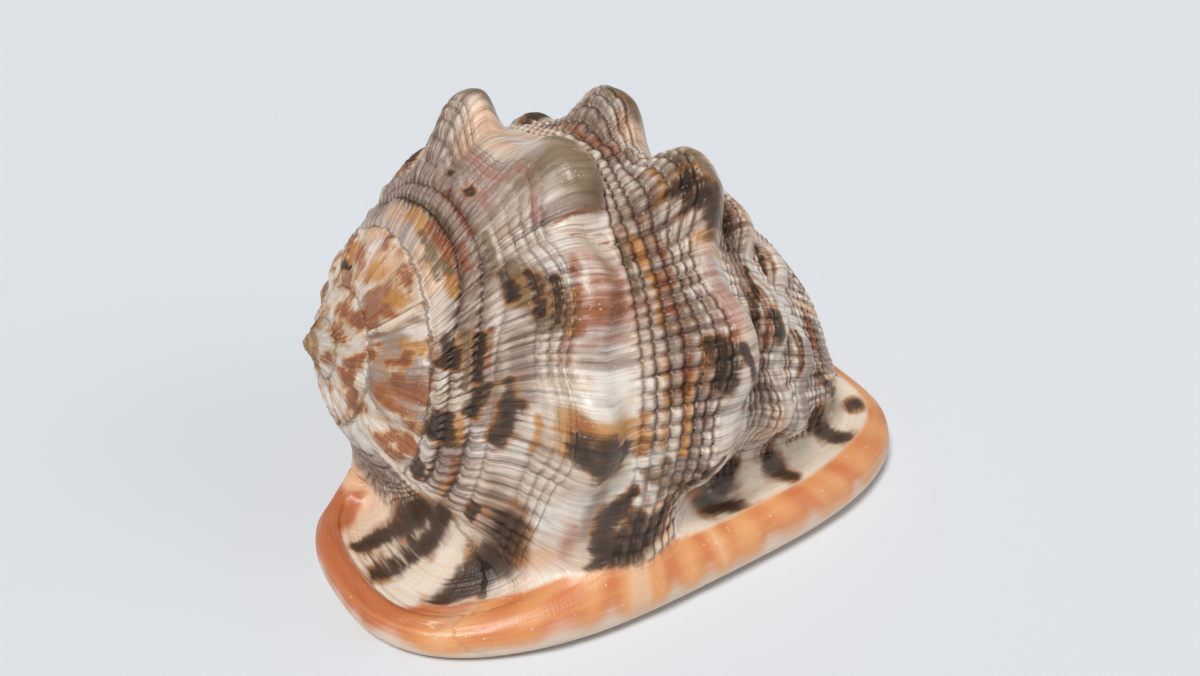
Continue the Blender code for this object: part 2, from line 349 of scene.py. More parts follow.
def shell_distance(points):
    """Distance from the whole shell's surface, negative in the shell."""
    x, y, z = points.T
    offset, roll = rim_offset(x, y), roll_radius(x, y)
    rim = np.hypot(offset, z - roll) - roll
    inward = np.minimum(np.maximum(-offset, 0.0), FLANGE_WIDTH) / FLANGE_WIDTH
    rise = (FLANGE_RISE + change(x, *FLANGE_GAIN)) * (1.0 - change(y, *SHIELD_FALL))
    top = 2.0 * roll - FLANGE_SINK + inward ** 2 * rise
    plate = np.maximum((z - top) * ASKEW, offset + roll * FLANGE_EDGE)
    distance = soft_min(body_distance(points), soft_min(rim, plate, FLANGE_BLEND), BODY_BLEND)
    for start, end, wide, narrow, blend in LIMBS:
        run = np.subtract(end, start)
        share = np.clip((points - start) @ run / (run @ run), 0.0, 1.0)
        reach = np.linalg.norm(points - start - share[:, None] * run, axis=1)
        distance = soft_min(distance, reach - (wide + (narrow - wide) * share), blend)
    distance = -soft_min(-distance, z - floor_height(x, y), FLOOR_BLEND)
    return -soft_min(-distance, slit_distance(points), SLIT_BLEND)


def settle(points, steps):
    """Move points onto the shell's surface by a few steps along its slope."""
    nudge = 0.05
    longest_step = 1.5
    least_steep = 0.15
    for _ in range(steps):
        here = shell_distance(points)
        slope = np.empty_like(points)
        for k in range(3):
            moved = points.copy()
            moved[:, k] += nudge
            slope[:, k] = (shell_distance(moved) - here) / nudge
        steep = np.maximum((slope ** 2).sum(axis=1), least_steep)
        points = points - np.clip(here / steep, -longest_step, longest_step)[:, None] * slope
    return points


def grain(u, v, seed):
    """Smooth random field of about unit spacing, from 0 to 1."""
    columns, rows = 101, 97
    table = np.random.default_rng(seed).random((columns, rows))
    column, row = np.floor(u).astype(int), np.floor(v).astype(int)
    across, down = ease(u - column), ease(v - row)
    left, right, top, low = column % columns, (column + 1) % columns, row % rows, (row + 1) % rows
    upper = table[left, top] * (1.0 - across) + table[right, top] * across
    lower = table[left, low] * (1.0 - across) + table[right, low] * across
    return upper * (1.0 - down) + lower * down


def stroke(start, end, points, width, end_width=None):
    """1 inside a stroke, a half on its edge and 0 a little outside it."""
    run = np.subtract(end, start)
    share = np.clip((points - start) @ run / (run @ run + 1e-9), 0.0, 1.0)
    reach = np.linalg.norm(points - start - share[:, None] * run, axis=1)
    wide = width + ((end_width or width) - width) * share
    return np.clip(1.2 - 0.7 * reach / wide, 0.0, 1.0)


# places along the section of the grooves cut along the whorl, and the belts in which they are
# deep: middle, half width and strength, with the width over which a belt fades out
SPIRAL_GROOVES = (
    12, 18, 21.2, 24.8, 28.4, 31.4, 33.4, 35, 36.4, 37.6, 41, 45, 49.5, 53.5, 56.5, 59.7, 62.6,
    65, 67, 69, 72.2, 75.5, 79, 82.5, 84.5, 86.5, 88.5, 90, 92.5, 95, 97.5, 99, 101.2, 103.5,
    105.5, 107, 109, 111, 113, 116, 119, 121.5, 124, 126.5, 129, 132, 136, 141)
BELTS = (
    (24.8, 0.5, 0.9), (28.4, 0.5, 0.8), (34.6, 2.4, 0.6), (61.0, 7.5, 1.0), (86.2, 3.8, 0.9),
    (98.4, 1.6, 0.8), (112.0, 5.0, 0.9), (127.0, 6.0, 0.45))
BELT_FADE = 2.5

# spacing of the growth steps between beads, of the lip's teeth and of the shield's folds
GROWTH_STEP = 2.9
LIP_TOOTH_STEP = 4.3
SHIELD_FOLD_STEP = 2.9

# radii at which angles are turned into lengths, on the body and round the base
BODY_RADIUS = 50.0
EDGE_RADIUS = 55.0

# the inner edge of the rim's orange: place along the shell, distance from the rim's line
ORANGE_EDGE = (
    (-66, -1.0), (-60, -1.5), (-56, -4.6), (-48, -6.2), (-39, -4.1), (-32, -1.8), (-25, -0.2),
    (0, 0.6), (26, 0.8), (47, -0.7), (60, 0.3))


def locate(points):
    """Where points lie: round and along the coil, on the rim, and beside the slit."""
    axial, _, angle = coil_place(points)
    here = SimpleNamespace()
    here.turn, here.along, here.size = unwound(axial, angle)
    here.spire = (here.turn < angle - 1.0).astype(float)

    # growth lines lag behind near the seam and run ahead over the body
    lag = -0.025 * np.maximum(38.0 - here.along, 0.0) ** 2.2 * (1.0 - 0.5 * here.spire)
    lag += 0.25 * np.clip(here.along - 45.0, 0.0, 30.0)
    here.growth = np.radians(here.turn + lag) * BODY_RADIUS

    # cords sag round a large knob, and climb towards the lip where they are near the seam
    sag = 2.5 * bell((here.turn - 8.0) / 12.0) * ramp(here.along, 48.0, 6.0)
    sag -= 4.0 * ramp(here.turn, 25.0, 50.0) * ramp(here.along, 34.0, -6.0)
    here.cord = np.interp(here.along - sag, SPIRAL_GROOVES, np.arange(len(SPIRAL_GROOVES)))
    here.belt = np.zeros_like(angle)
    for middle, half, strength in BELTS:
        away = np.abs(here.along - sag - middle) - half
        here.belt = np.maximum(here.belt, strength * (1.0 - ease(away / BELT_FADE)))
    here.belt *= 1.0 - 0.9 * here.spire

    # the body ends where the flange or the rim covers it, and where its last turn meets the lip
    here.body = ramp(body_distance(points), 4.0, -3.0)
    from_lip = 180.0 - np.abs(angle - LIP_ANGLE + 180.0)
    here.body *= here.spire + (1.0 - here.spire) * ease(from_lip / 7.0)

    # rim: distance out from its line, length along it from the middle of the lip, its orange
    x, y, z = points.T
    here.offset, here.roll = rim_offset(x, y), roll_radius(x, y)
    here.edge = np.arctan2(x - BASE_CENTRE[0], BASE_CENTRE[1] - y) * EDGE_RADIUS
    inner = np.interp(x, *np.array(ORANGE_EDGE, float).T)
    here.rim = ease((here.offset - inner + 0.6) / 1.2)
    here.rim *= 1.0 - ease((z - 2.0 * here.roll - 0.8) / 1.5)

    # beads come at uneven growth steps, and wear leaves some stretches smooth
    here.beads = here.growth / GROWTH_STEP
    here.beads += 2.4 * grain(here.growth / 14.0, here.along / 30.0, 3)
    here.worn = grain(here.growth / 16.0, here.along / 12.0, 4)
    polish = ramp(here.turn, 76.0, 18.0) * ramp(here.along, 35.0, 4.0)
    here.worn *= 1.0 - 0.9 * polish * ramp(here.along, 62.0, -7.0)

    # teeth on the lip's side of the slit, and finer slanting folds on the shield's side
    here.from_slit = np.abs(y - aperture_line(x) + APERTURE_LEAN * z) - APERTURE_WIDTH / 2.0
    here.lip_side = (y < aperture_line(x) - APERTURE_LEAN * z).astype(float)
    from_edge = ramp(here.from_slit, -2.0, 2.0)
    teeth = (0.5 + 0.5 * np.cos(x * 2.0 * math.pi / LIP_TOOTH_STEP)) ** 1.3
    teeth *= 1.6 * from_edge * ramp(here.from_slit, 12.0, -9.0)
    slant = x + 0.35 * here.from_slit + 1.5 * grain(x / 9.0, here.from_slit / 30.0, 11)
    folds = 0.5 + 0.5 * np.cos(slant * 2.0 * math.pi / SHIELD_FOLD_STEP)
    folds *= (0.5 + 0.7 * grain(x / 5.0, y / 30.0, 12)) * from_edge
    folds *= ramp(here.from_slit, 17.0, -12.0)
    here.teeth = teeth * here.lip_side + folds * (1.0 - here.lip_side)
    return here


def facing_down(points, normals):
    """1 on the underside, 0 on the rest."""
    return ramp(-normals[:, 2], 0.1, 0.5) * ramp(points[:, 2], 9.0, -4.0)


def cushion(phase):
    """Arch between the whole numbers of a phase: 0 at each and 1 half way."""
    across = 2.0 * (phase - np.floor(phase)) - 1.0
    return np.sqrt(np.maximum(1.0 - across ** 2, 0.0))


# depth of the cords between grooves and of the beads across them: outside the belts, and what
# a belt adds; and the share of their height that is carved in rather than raised
CORD_DEPTH = (0.06, 1.05)
BEAD_DEPTH = (0.12, 0.85)
CARVED_SHARE = 0.8

# height of the coarse and fine growth lines, the beads' unevenness, the flange's lines, and
# the rim's swells and threads
COARSE_LINES = 0.45
FINE_LINES = 0.26
BEAD_UNEVENNESS = 0.30
FLANGE_LINES = 0.35
RIM_SWELLS = 0.45
RIM_THREADS = 0.28

# the seam between two turns, low folds in front of it, and a row of nodules further on:
# place along the section, half width, depth or height
SEAM = (18.1, 0.6, 0.8)
SPIRE_SEAM = (31.5, 0.5)
FOLD_ROW = (20.5, 1.8, 0.25)
NODULE_ROW = (31.6, 2.2, 1.5)
FOLD_SPACING = 4.2
NODULE_SPACING = 11.5

# an old lip that crosses the spire at a slant: angle, slant in each millimetre, half width,
# height; and the waves across the spire's turns: degrees from crest to hollow, slant, heights
OLD_LIP = (-306.0, 0.62, 2.2, 2.6)
WAVE_TURN = 11.0
WAVE_SLANT = 0.9
SPIRE_WAVES = 1.5
SEAM_WAVES = 0.5


def whorl_lift(here):
    """Lift of the body's and the spire's surface, for a turn as large as the last."""
    lift = (CORD_DEPTH[0] + CORD_DEPTH[1] * here.belt) * (cushion(here.cord) - CARVED_SHARE)
    lift *= 0.45 + here.worn
    bead_depth = BEAD_DEPTH[0] + BEAD_DEPTH[1] * here.belt
    lift += bead_depth * (cushion(here.beads) - CARVED_SHARE) * (0.3 + here.worn)

    # growth lines are fainter on polished stretches
    coarse = np.clip(0.4 + 2.0 * here.worn, 0.0, 1.0)
    lift += COARSE_LINES * coarse * (grain(here.growth / 5.5, here.along / 30.0, 5) - 0.5)
    lift += FINE_LINES * coarse * (grain(here.growth / 1.7, here.along / 18.0, 6) - 0.5)
    lift += BEAD_UNEVENNESS * here.belt * (grain(here.beads * 1.1, here.cord * 1.1, 7) - 0.5)

    place, width, height = FOLD_ROW
    folds = bell((here.along - place) / width)
    lift += height * folds * np.cos(here.growth * 2.0 * math.pi / FOLD_SPACING)
    place, width, depth = SEAM
    seam = bell((here.along - place) / width)
    seam += here.spire * bell((here.along - SPIRE_SEAM[0]) / SPIRE_SEAM[1])
    lift -= depth * seam
    place, width, height = NODULE_ROW
    nodules = bell((here.along - place) / width) * ramp(here.turn, 30.0, -20.0)
    bumps = np.cos(here.growth * 2.0 * math.pi / NODULE_SPACING)
    lift += height * nodules * np.maximum(bumps, 0.0) ** 1.5

    angle, slant, width, height = OLD_LIP
    varix = here.turn - angle + slant * (here.along - 18.0)
    lift += height * here.spire * bell(varix / width)
    waves = np.cos((here.turn + WAVE_SLANT * here.along) * math.pi / WAVE_TURN)
    waves *= ramp(here.along, 19.0, 4.0) * ramp(here.along, 31.0, -3.0)
    lift += (SPIRE_WAVES * here.spire + SEAM_WAVES * ramp(here.along, 26.0, -4.0)) * waves
    return lift


# a crack across the rim near the lip's back end, in steps, with its depth and half width
RIM_CRACK = ((-61, -29.5, 8), (-57.5, -34, 8), (-52.5, -36, 9))
CRACK_DEPTH = 0.4
CRACK_WIDTH = 0.7

# two creases along the inside of the rim there: their angles about the roll, width and depth
CREASE_ANGLES = (118.0, 142.0)
CREASE_WIDTH = 6.0
CREASE_DEPTH = 0.8


def relief(points, normals):
    """Lift of the surface by growth lines, spiral grooves, beads, folds, rim and teeth."""
    here = locate(points)
    x, _, z = points.T
    under = facing_down(points, normals)
    slit = slit_distance(points)
    lift = whorl_lift(here) * (here.size * here.body * (1.0 - under) * ease(slit / 2.0))

    # flange and rim: lines and threads along them, a crack and two creases
    flange = (1.0 - here.body) * (1.0 - under) * ease((-here.offset - here.roll * 0.4) / 2.0)
    lift += flange * FLANGE_LINES * (grain(here.offset / 1.5, here.edge / 18.0, 8) - 0.5)
    roll_turn = np.degrees(np.arctan2(z - here.roll, here.offset))
    on_roll = 1.0 - ease(np.hypot(here.offset, z - here.roll) - here.roll)
    on_roll *= 1.0 - under
    lift += on_roll * RIM_SWELLS * (grain(here.edge / 9.0, roll_turn / 90.0, 9) - 0.5)
    lift += on_roll * RIM_THREADS * (grain(roll_turn / 9.0, here.edge / 22.0, 10) - 0.5)
    for start, end in zip(RIM_CRACK, RIM_CRACK[1:]):
        lift -= CRACK_DEPTH * stroke(start, end, points, CRACK_WIDTH)
    creases = sum(bell((roll_turn - angle) / CREASE_WIDTH) for angle in CREASE_ANGLES)
    lift -= on_roll * CREASE_DEPTH * creases * ramp(x, -30.0, -14.0)

    # the resting face stays flat, but the teeth and folds by the slit are carved in it
    lift *= 1.0 - under * ramp(z, 0.7, -0.6)
    mouth = ramp(z, 7.0, -4.0) * ramp(x, -46.0, 8.0) * ramp(x, 56.0, -8.0)
    lift += here.teeth * mouth * np.maximum(under, ramp(slit, 3.5, -3.0))
    return lift


# Colour patches: each is a stroke from one place on the coil to another, as angle and place
# along the section, then its half width.  An angle under -235 is on the spire, and the first
# gold stroke covers the small turns at its tip.
PATCHES = {
    "dark": (
        (80.6, 38.2, 81.2, 48.4, 2.9), (82.6, 39.6, 83, 47.4, 3), (84.2, 41.8, 84.6, 46, 3),
        (88, 20.2, 97, 19.6, 2.2), (76, 30.6, 89, 28.2, 1.4), (70, 29.4, 79, 29.2, 1),
        (73, 26.2, 84, 24.2, 1.2), (58, 25.4, 72, 24.8, 1.1), (58, 20.6, 69, 20.2, 1.6),
        (40, 30.4, 49, 30.8, 0.9), (42, 33.2, 54, 33.2, 0.7), (46, 35.6, 56, 35.4, 0.5),
        (6, 31.2, 10, 31.2, 0.8), (-8, 32, -4, 32, 0.6), (30, 67.6, 35, 73, 2.8),
        (61, 67.4, 67, 68.4, 2.4), (60.5, 71, 65, 74, 1.3), (52.5, 89.6, 58, 91.4, 1.5),
        (48, 87.2, 68, 84.6, 0.9), (40, 90.4, 52, 87, 0.6), (27, 88.2, 36, 86.8, 0.8),
        (96, 50.6, 107, 50, 2.6), (91, 53.5, 97, 51, 1), (98, 56, 105, 56.6, 2.6),
        (108, 33.2, 121, 33.8, 1.3), (112, 19.2, 125, 18.6, 1), (112, 28.6, 119, 28.6, 0.8),
        (68, 113, 72, 118, 2), (82, 112, 92, 116, 2.2), (30, 99.6, 40, 98.8, 0.6),
        (55, 102, 66, 101.4, 0.5), (-392, 20.4, -377, 22.8, 0.7)),
    "rust": (
        (42, 38.8, 58, 38.4, 1), (54, 41, 52, 50, 3.6), (75.5, 38.2, 79, 38.4, 2),
        (48, 41, 46.6, 51, 1.8), (34, 54.6, 41, 55.6, 1), (46, 60.8, 53, 61.2, 1.5),
        (38, 62.4, 47, 62.8, 1.2), (10, 23.4, 34, 22.8, 1.6), (26, 26, 36, 25.4, 1),
        (58, 62.6, 70, 62.4, 0.8), (-12, 61.4, 1, 62.2, 0.7), (4, 63.6, 9, 65.2, 1.4),
        (33, 38.6, 29.4, 53, 0.5), (36.5, 40, 34.8, 52, 0.4), (39, 43, 37.4, 52, 0.4),
        (0, 28.4, 24, 27.8, 0.8), (58, 69.6, 61, 66.8, 1.1), (56, 27.2, 68, 26, 0.7),
        (60, 18.4, 80, 18.3, 0.6), (40, 89.4, 66, 87.6, 0.8), (52, 100.5, 68, 101.5, 0.7),
        (100, 23.4, 112, 23.8, 0.8), (48, 113, 60, 114, 1.8), (30, 99.6, 40, 101, 0.6),
        (84, 98, 94, 100, 1.6), (-340, 20, -304, 19, 1.6), (-338, 22, -328, 21.4, 2.6),
        (-337, 28, -334, 31, 2.4), (-268, 22, -282, 31, 5), (-374, 22.6, -364, 22, 2),
        (-322, 21, -316, 23, 2), (-250, 26, -252, 31, 2), (-385, 29, -380, 31, 2)),
    "gold": (
        (-3000, 25, -1150, 25, 7), (-6, 22.8, 14, 21.6, 1.5), (20, 23.6, 44, 22.4, 1.4),
        (86, 22.8, 96, 22.4, 1.2), (75, 37, 82, 36.4, 2.2), (77, 39, 77.4, 53, 2.8),
        (75, 53.6, 82, 53.6, 2), (85, 40, 85.4, 49, 1.2), (50, 37.6, 58, 37.4, 1),
        (50, 31, 53, 34, 1.4), (36, 56.8, 46, 58.6, 1.6), (47, 59, 56, 58.8, 1.2),
        (62, 58.4, 81, 58.2, 0.8), (66, 63.2, 82, 63.4, 0.8), (22, 64.8, 30, 64.6, 0.7),
        (41, 30, 44, 33, 1), (77, 33, 88, 32.8, 0.6), (110, 23, 122, 23.6, 0.6),
        (-326, 22.6, -320, 27, 3.2), (-299, 26, -296, 31, 3), (-350, 22, -344, 24, 3),
        (-390, 26, -384, 24, 2.5), (50, 91, 53, 90.2, 1), (38, 70, 37.2, 77, 0.9),
        (-2, 70, 2.4, 74, 0.9), (28, 20, 34, 21.4, 1.2)),
    "peach": (
        (-11, 38.6, -6, 50, 4.2), (-2, 40, 2, 42, 2.2), (5, 71, 8, 77, 3.2),
        (38.6, 70, 40, 80, 1.8), (27, 92, 33, 93.4, 2.6), (-14, 57, 8, 56.4, 1.6),
        (14, 46, 22, 50, 2), (24, 71, 26, 75, 2), (112, 41, 116, 38.6, 2), (95, 62, 103, 66, 3),
        (76, 90.5, 82, 91, 2.2), (-16, 20.6, -2, 22, 2), (18, 20, 40, 19.6, 1.6),
        (-378, 25, -372, 31, 5), (-346, 27, -340, 29, 3.5), (-362, 24, -352, 22, 3)),
    "blush": (
        (45, 51, 42, 40, 2.4), (54, 40, 51, 53, 5), (-10, 35.6, 14, 34.8, 1.2),
        (14, 36.4, 30, 36.8, 1), (50, 37, 64, 37.4, 1.2), (4, 32, 18, 31.6, 1),
        (102, 43.4, 110, 43.6, 1.8), (42, 74, 56, 70, 3), (60.5, 40, 58.6, 50, 1.6)),
    # three olive strokes between 84 and 92 degrees, from 56 to 71 along, are painted shade along a
    # sharp crease
    "olive": (
        (26, 42, 27, 46, 2.2), (20.6, 40.6, 25.6, 47.6, 5.2), (14, 43, 17, 45, 2.2),
        (39, 30.6, 55, 34.8, 2.6), (-19, 41, -15, 43, 2.6), (-4, 70.6, 1, 74, 2.8),
        (26, 69, 31, 73, 3.6), (10, 54.4, 20, 53.6, 1.4), (84, 42, 87, 43.2, 1),
        (87, 56, 90, 64, 1.6), (85, 68, 87, 71, 1.4), (26, 29.8, 38, 29.4, 0.8),
        (34, 78, 33, 74, 2), (66, 75, 72, 78, 1.8), (36, 53.6, 50, 54.4, 0.8),
        (56, 23.4, 76, 22.8, 0.7), (-20, 24.4, 20, 25, 0.8), (10, 21.4, 36, 20.6, 0.7),
        (24, 20, 34, 22.8, 1), (84, 60, 92, 60, 1)),
    # the stroke at 64 degrees from 40 to 52 along is partly the shell's own greyish tone and
    # partly painted shade and reflection
    "smoke": (
        (-310, 24, -308, 31, 1.4), (-290, 20, -288, 31, 2), (-290, 19.8, -258, 19.8, 2),
        (-60, 27, 20, 28, 9), (-12, 34, 16, 36, 3), (-40, 40, -24, 42, 6), (10, 26, 45, 26, 3.5),
        (30, 38, 29, 53, 1.8), (30, 60, 66, 62, 4), (-14, 62, 12, 65, 3), (50, 24, 84, 27, 3.4),
        (58, 31, 74, 31, 2), (92, 22, 125, 24, 3), (100, 30, 125, 32, 2), (36, 88, 70, 87, 3),
        (64, 40, 63.6, 52, 1.6), (90, 46, 104, 46, 2), (60, 104, 78, 104, 2),
        (55, 116, 80, 120, 4), (10, 92, 30, 88, 4), (-310, 20, -262, 30, 4),
        (-385, 22, -372, 27, 3), (-228, 30, -100, 30, 6), (-228, 62, -70, 62, 5),
        (-200, 92, -60, 90, 5), (70, 66, 90, 64, 2)),
}

# the dark bars that run down the flange to the rim: places along each, with its half width
BARS = (
    ((-59, -3.8, 7, 1.8), (-54, -4.6, 7.6, 3.2), (-49, -6.5, 11, 4.2), (-46.8, -12, 18, 4.2)),
    ((-60, -13.6, 7.2, 2.4), (-54, -13.6, 7.8, 3.5), (-48, -15, 11, 3.2), (-45, -18, 20, 2.8)),
    ((-53.4, -28.2, 7.8, 2.8), (-46, -29, 9.8, 4.8), (-40.8, -30, 13, 5.2), (-37.6, -32, 24, 4.0)),
    ((-27.4, -44.8, 14.5, 2.0), (-22, -45.5, 17, 4.2), (-17, -47, 20, 5.4)),
    ((-14, -46.5, 20, 4.0), (-6, -48.6, 29, 1.4), (0.4, -51.3, 35.3, 0.8)),
    ((0, -41.5, 20, 0.9), (6, -41.5, 15, 3.4), (11, -44.4, 13, 2.8)),
    ((6, -41.5, 16, 3.0), (11, -39.5, 15.4, 3.4), (14.6, -36.8, 17.4, 2.2)),
    ((25, -36.8, 16, 1.8), (25, -39, 14, 3.4), (26.6, -43.4, 13, 2.2)),
    ((37, -37.4, 22, 2.8), (43.6, -36.2, 13.6, 2.8), (47, -38.6, 11.6, 3.0)),
    ((53, -33, 17, 2.0), (58.6, -29.6, 11.4, 2.4)),
    ((62.4, -17, 12, 1.4), (64.6, -13.6, 10, 1.8)),
)


def far_patches():
    """The same kinds of patch on the side and back: by the knobs there, and in rows."""
    patches = {"dark": [], "peach": [], "olive": [], "rust": []}
    for place, _, knobs in KNOB_ROWS:
        for angle, *_, around in knobs:
            if angle < -30:
                patches["dark"].append((angle + 6, place - 3, angle + 7, place + 3, around * 0.36))
                patches["olive"].append((angle, place - 2, angle + 2, place + 1, around * 0.5))
                patches["peach"].append((angle + 15, place - 3, angle + 17, place + 4, 4))
                patches["rust"].append((angle + 3, place - 6, angle + 11, place - 7, 1.2))
    for angle in range(-228, -110, 31):
        patches["dark"].append((angle, 41, angle + 3, 47, 3))
        patches["dark"].append((angle + 12, 72, angle + 14, 77, 3))
        patches["rust"].append((angle + 8, 58, angle + 18, 60, 2))
    for k, angle in enumerate(range(-150, 60, 23)):
        shift = 5 * (k * 7 % 4)
        patches["dark"].append((angle + shift, 118, angle + shift + 3, 120 + k % 3, 1.5))
        patches["rust"].append((angle + shift, 125 + k % 4, angle + 4 + shift, 134, 1.8))
        patches["peach"].append((angle + 12, 112, angle + 14, 128, 2.4))
    return patches


def get_points(mesh):
    """A mesh's points, in millimetres."""
    flat = np.empty(len(mesh.vertices) * 3)
    mesh.vertices.foreach_get("co", flat)
    return flat.reshape(-1, 3) * 1000.0


def get_normals(mesh):
    """A mesh's outward directions at its points."""
    flat = np.empty(len(mesh.vertices) * 3)
    mesh.vertices.foreach_get("normal", flat)
    return flat.reshape(-1, 3)


def set_points(mesh, points):
    """Put a mesh's points at places in millimetres."""
    mesh.vertices.foreach_set("co", (points / 1000.0).ravel())
    mesh.update()


def paint(mesh):
    """Store where each point lies, and how far each colour covers it, as attributes."""
    points = get_points(mesh)
    here = locate(points)
    unrolled = np.stack((here.turn, here.along), axis=1)
    on_body = ramp(here.body, 0.2, 0.5)
    far = far_patches()
    cover = {}
    for colour, patches in PATCHES.items():
        cover[colour] = np.zeros(len(points))
        for first, start, last, end, width in list(patches) + far.get(colour, []):
            part = stroke((first, start), (last, end), unrolled, width)
            cover[colour] = np.maximum(cover[colour], part)
        cover[colour] *= on_body
    bars = np.zeros(len(points))
    for bar in BARS:
        for start, end in zip(bar, bar[1:]):
            part = stroke(start[:3], end[:3], points, start[3], end[3])
            bars = np.maximum(bars, part)
    bars *= 1.0 - here.rim
    under = facing_down(points, get_normals(mesh))
    inside = ramp(slit_distance(points), 1.5, -1.5) * ramp(points[:, 2], 2.0, 6.0)
    top = np.clip(knob_relief(here.turn, here.along) / 9.0, 0.0, 1.0) * on_body
    top = np.maximum(top * (1.0 - under), np.clip(here.teeth, 0.0, 1.0) * under)
    fields = {
        "coil": (here.growth, here.along, here.cord),
        "border": (here.edge, here.offset, points[:, 2] / (2.0 * here.roll)),
        "stain": (cover["dark"], cover["rust"], cover["gold"]),
        "bloom": (cover["peach"], cover["blush"], cover["olive"]),
        "zone": (here.rim, here.belt * on_body, here.spire),
        "flange": (bars, 1.0 - here.body, under),
        "mouth": (inside, np.clip(here.from_slit / 20.0, 0.0, 1.0), cover["smoke"]),
        "beads": (here.beads, here.worn, top),
    }
    for name, parts in fields.items():
        field = mesh.attributes.new(name, "FLOAT_VECTOR", "POINT")
        field.data.foreach_set("vector", np.stack(parts, axis=1).ravel().astype(np.float32))


def remesh(thing, voxel):
    """Rebuild a closed mesh from even squares of the voxel's size."""
    rebuild = thing.modifiers.new("remesh", "REMESH")
    rebuild.mode = "VOXEL"
    rebuild.voxel_size = voxel
    bpy.ops.object.modifier_apply(modifier=rebuild.name)


# The wall between the slit's back end and the fold beside it is thin: balls laid along the
# fold keep it whole through the first, coarse remesh, and settling then takes them off again.
THIN_FOLD = (
    (-43, -17, 14), (-42.4, -20, 14), (-41.8, -23, 14), (-41.2, -26, 14.2), (-40.6, -29, 14.6))
BALL_RADIUS = 3.2
COARSE_VOXEL = 0.0015
FINE_VOXEL = 0.0006
KEPT_TRIANGLES = 196000

bpy.ops.object.select_all(action="DESELECT")
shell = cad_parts["helmet_shell"].copy()
shell.data = shell.data.copy()
shell.name = shell.data.name = "shell"
shell.parent = None
for key in list(shell.keys()):
    del shell[key]
bpy.context.scene.collection.objects.link(shell)
bpy.context.view_layer.objects.active = shell
shell.select_set(True)
blank = bmesh.new()
blank.from_mesh(shell.data)
bmesh.ops.remove_doubles(blank, verts=blank.verts, dist=1e-6)
blank.to_mesh(shell.data)
set_points(shell.data, settle(get_points(shell.data), 8))
blank.clear()
blank.from_mesh(shell.data)
for centre in THIN_FOLD:
    bmesh.ops.create_icosphere(
        blank, subdivisions=3, radius=BALL_RADIUS / 1000.0,
        matrix=Matrix.Translation(Vector(centre) / 1000.0))
blank.to_mesh(shell.data)
blank.free()
shell.data.materials.clear()
remesh(shell, COARSE_VOXEL)
set_points(shell.data, settle(get_points(shell.data), 6))
remesh(shell, FINE_VOXEL)
carved = settle(get_points(shell.data), 3)
set_points(shell.data, carved)
outward = get_normals(shell.data)
carved += outward * relief(carved, outward)[:, None]
carved[:, 2] = np.maximum(carved[:, 2], 0.0)
set_points(shell.data, carved)
thin = shell.modifiers.new("thin", "DECIMATE")
thin.ratio = KEPT_TRIANGLES / sum(len(face.vertices) - 2 for face in shell.data.polygons)
bpy.ops.object.modifier_apply(modifier=thin.name)
kept = get_points(shell.data)
kept[:, 2] = np.maximum(kept[:, 2], 0.0)
set_points(shell.data, kept)
bpy.ops.object.shade_smooth()
paint(shell.data)

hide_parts("helmet_shell")
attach(shell, "root")


class Value:
    """A number, colour or vector in the material being built; sums on it become nodes."""

    def __init__(self, tree, socket):
        self.tree = tree
        self.socket = socket

    def node(self, kind, settings, inputs, output=0):
        """Add a node: its settings first, then the values or links of its sockets."""
        made = self.tree.nodes.new(kind)
        for name, setting in settings.items():
            setattr(made, name, setting)
        for name, value in inputs.items():
            if isinstance(value, Value):
                self.tree.links.new(value.socket, made.inputs[name])
            else:
                made.inputs[name].default_value = value
        return Value(self.tree, made.outputs[output])

    def math(self, operation, other=0.0):
        """Math node of this number and another."""
        return self.node("ShaderNodeMath", {"operation": operation}, {0: self, 1: other})

    def __add__(self, other):
        return self.math("ADD", other)

    def __sub__(self, other):
        return self.math("SUBTRACT", other)

    def __rsub__(self, other):
        return self.node("ShaderNodeMath", {"operation": "SUBTRACT"}, {0: other, 1: self})

    def __mul__(self, other):
        return self.math("MULTIPLY", other)

    __radd__ = __add__
    __rmul__ = __mul__

    def parts(self):
        """The three numbers of a vector."""
        return [self.node("ShaderNodeSeparateXYZ", {}, {0: self}, k) for k in range(3)]

    def step(self, low, high):
        """Smooth step of a number from 0 at low to 1 at high."""
        return self.node(
            "ShaderNodeMapRange", {"interpolation_type": "SMOOTHSTEP"},
            {"Value": self, "From Min": low, "From Max": high})

    def middle(self):
        """Nearness to the middle between two whole numbers: 1 half way, 0 at each."""
        return 1.0 - (self.math("FRACT") - 0.5).math("ABSOLUTE") * 2.0

    def most(self, other):
        """The larger of two numbers."""
        return self.math("MAXIMUM", other)

    def over(self, cover, colour):
        """This colour with another laid over it where the cover is 1."""
        return self.node(
            "ShaderNodeMix", {"data_type": "RGBA"},
            {0: cover, 6: self, 7: colour if isinstance(colour, Value) else (*colour, 1.0)}, 2)

    def tint(self, cover, colour):
        """This colour multiplied by another where the cover is 1."""
        return self.node(
            "ShaderNodeMix", {"data_type": "RGBA", "blend_type": "MULTIPLY"},
            {0: cover, 6: self, 7: (*colour, 1.0)}, 2)

    def noise(self, across, layer, detail=2.0):
        """Noise texture at this number and another, in a layer of its own: about 0.2 to 0.8."""
        place = self.node("ShaderNodeCombineXYZ", {}, {0: self, 1: across, 2: layer})
        return self.node(
            "ShaderNodeTexNoise", {}, {"Vector": place, "Scale": 1.0, "Detail": detail})


def field(tree, name):
    """The three numbers of one of the surface's attributes."""
    source = tree.nodes.new("ShaderNodeAttribute")
    source.attribute_name = name
    return Value(tree, source.outputs["Vector"]).parts()


def ground(tree, colour):
    """A plain colour for others to be laid over."""
    source = tree.nodes.new("ShaderNodeRGB")
    source.outputs[0].default_value = (*colour, 1.0)
    return Value(tree, source.outputs[0])


